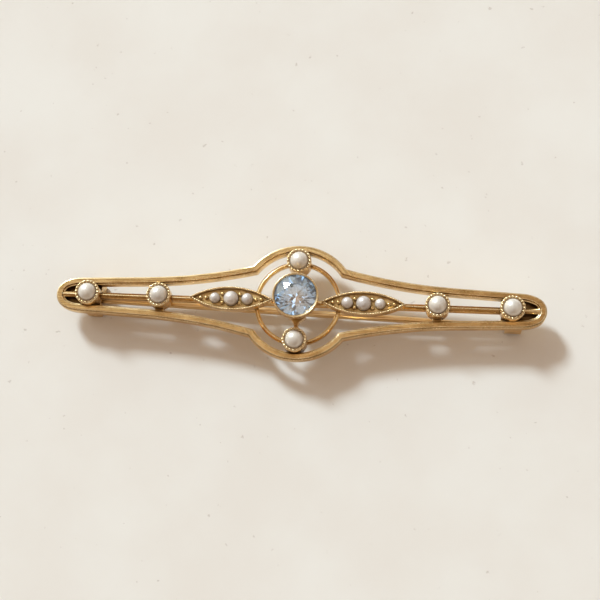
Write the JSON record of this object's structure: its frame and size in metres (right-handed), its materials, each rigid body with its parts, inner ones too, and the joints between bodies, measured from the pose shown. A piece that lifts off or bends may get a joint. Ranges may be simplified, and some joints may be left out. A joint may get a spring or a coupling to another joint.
{
  "type": "aquamarine brooch",
  "caption": "Openwork gold bar brooch with a round aquamarine, collet-set pearls, leaf settings of seed pearls, and a hinged pin and catch behind.",
  "frame": {"origin": "below the middle of the aquamarine, on the surface that the brooch lies on, at the middle of its box's underside", "axes": "+X along the bar, from the hinge end to the catch end; +Y up the face as the brooch is worn; +Z out of the face"},
  "size_m": [0.0604, 0.0146, 0.0074],
  "materials": {
    "gold": "polished 15 carat yellow gold, softly worn, dark in its recesses",
    "pin_gold": "drawn gold wire, satin",
    "aquamarine": "faceted and polished, pale blue",
    "pearl": "nacreous, cream white with a grey and pink lustre",
    "seed_pearl": "nacreous, greyish white"
  },
  "bodies": {
    "mount": {"gold_mount": "gold", "aquamarine": "aquamarine", "pearl_left_outer": "pearl", "pearl_left_inner": "pearl", "pearl_right_inner": "pearl", "pearl_right_outer": "pearl", "pearl_top": "pearl", "pearl_bottom": "pearl", "seed_left_outer": "seed_pearl", "seed_left_middle": "seed_pearl", "seed_left_inner": "seed_pearl", "seed_right_inner": "seed_pearl", "seed_right_middle": "seed_pearl", "seed_right_outer": "seed_pearl", "hinge_rivet": "pin_gold"},
    "pin": {"pin_stem": "pin_gold"}
  },
  "joints": [
    {"name": "pin_hinge", "type": "hinge", "parent": "mount", "child": "pin", "pos_m": [-0.0257, 0.00012, 0.00095], "axis": [0.0264, 0.9656, 0.2588], "range_deg": [0, 85]}
  ]
}
